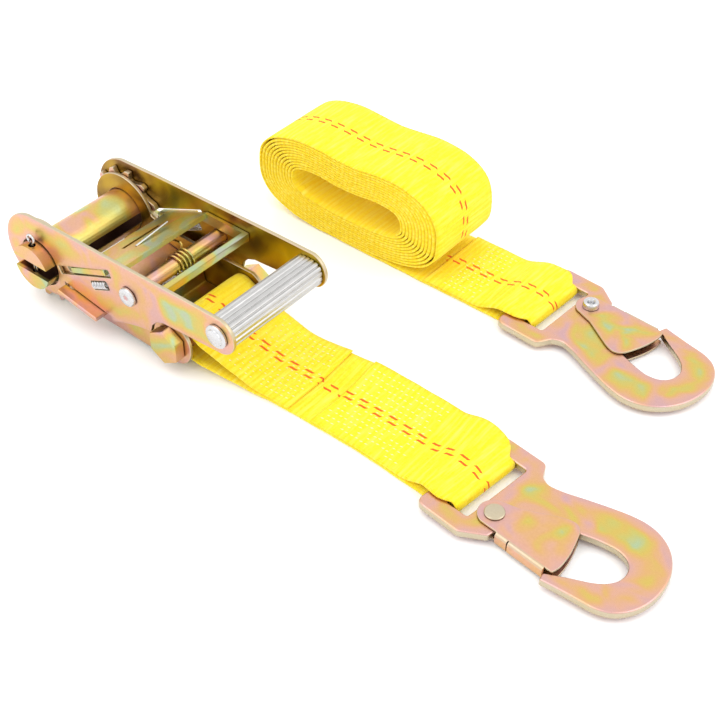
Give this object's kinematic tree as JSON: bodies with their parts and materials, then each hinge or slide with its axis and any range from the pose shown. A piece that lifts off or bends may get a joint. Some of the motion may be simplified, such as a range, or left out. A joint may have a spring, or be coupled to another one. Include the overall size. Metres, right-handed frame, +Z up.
{
  "type": "ratchet tie down",
  "caption": "Ratchet buckle with a short sewn strap and flat snap hook, and a rolled long webbing strap with a matching flat snap hook.",
  "frame": {"origin": "centre of the footprint, on the floor", "axes": "+X along the straps towards the hooks, +Y across the webbing from the ratchet to the roll, +Z up"},
  "size_m": [0.386, 0.1998, 0.0566],
  "materials": {
    "zinc": "yellow zinc plated steel, softly iridescent",
    "zinc_dark": "yellow zinc plated steel, in shade",
    "steel": "bright steel",
    "aluminium": "satin extruded",
    "webbing": "woven polyester, yellow with two tracer lines"
  },
  "bodies": {
    "frame": {"frame_plate_near": "zinc", "frame_plate_far": "zinc", "frame_base_plate": "zinc_dark", "anchor_bolt": "zinc", "anchor_nut": "zinc", "anchor_spacer": "zinc_dark", "short_strap": "webbing", "hook_1_body": "zinc", "hook_1_rivet": "zinc", "hook_1_spring": "steel", "lock_pawl_spring": "steel"},
    "mandrel": {"mandrel_half_upper": "zinc", "mandrel_half_lower": "zinc", "ratchet_wheel_near": "zinc", "ratchet_wheel_far": "zinc", "split_pin_near": "steel", "split_pin_far": "steel"},
    "handle": {"handle_plate_near": "zinc", "handle_plate_far": "zinc", "grip_bar": "aluminium", "grip_rivet": "steel", "handle_tie_rod": "zinc", "tie_rod_spring": "zinc_dark", "pawl_spring_near": "steel", "pawl_spring_far": "steel"},
    "drive_pawl": {"drive_pawl": "zinc"},
    "lock_pawl": {"lock_pawl": "zinc"},
    "hook_1_gate": {"hook_1_gate": "zinc"},
    "long_strap": {"long_strap": "webbing", "hook_2_body": "zinc", "hook_2_rivet": "zinc", "hook_2_spring": "steel"},
    "hook_2_gate": {"hook_2_gate": "zinc"}
  },
  "joints": [
    {"name": "mandrel_turn", "type": "hinge", "parent": "frame", "child": "mandrel", "pos_m": [-0.16815, -0.0591, 0.0252], "axis": [0, 1, 0], "continuous": true},
    {"name": "handle_swing", "type": "hinge", "parent": "frame", "child": "handle", "pos_m": [-0.16815, -0.0591, 0.0252], "axis": [0, -1, 0], "range_deg": [0, 165]},
    {"name": "drive_pawl_slide", "type": "slide", "parent": "handle", "child": "drive_pawl", "axis": [0.9205, 0, 0.3907], "range_m": [0, 0.004], "stiffness_N_per_m": 400, "springref_m": -0.004, "deforming": ["pawl_spring_near", "pawl_spring_far", "tie_rod_spring"]},
    {"name": "lock_pawl_slide", "type": "slide", "parent": "frame", "child": "lock_pawl", "axis": [0.9877, 0, -0.1564], "range_m": [0, 0.004], "stiffness_N_per_m": 300, "springref_m": -0.004, "deforming": ["lock_pawl_spring"]},
    {"name": "hook_1_gate_swing", "type": "hinge", "parent": "frame", "child": "hook_1_gate", "pos_m": [0.11197, -0.07234, 0.0047], "axis": [0, 0, 1], "range_deg": [0, 30], "stiffness_Nm_per_rad": 0.05, "springref_deg": -17.19, "deforming": ["hook_1_spring"]},
    {"name": "hook_2_gate_swing", "type": "hinge", "parent": "long_strap", "child": "hook_2_gate", "pos_m": [0.06646, 0.07917, 0.0047], "axis": [0, 0, -1], "range_deg": [0, 30], "stiffness_Nm_per_rad": 0.05, "springref_deg": -17.19, "deforming": ["hook_2_spring"]},
    {"name": "long_strap_lift", "type": "slide", "parent": "frame", "child": "long_strap", "axis": [0, 0, 1], "range_m": [0, 0.1]}
  ]
}
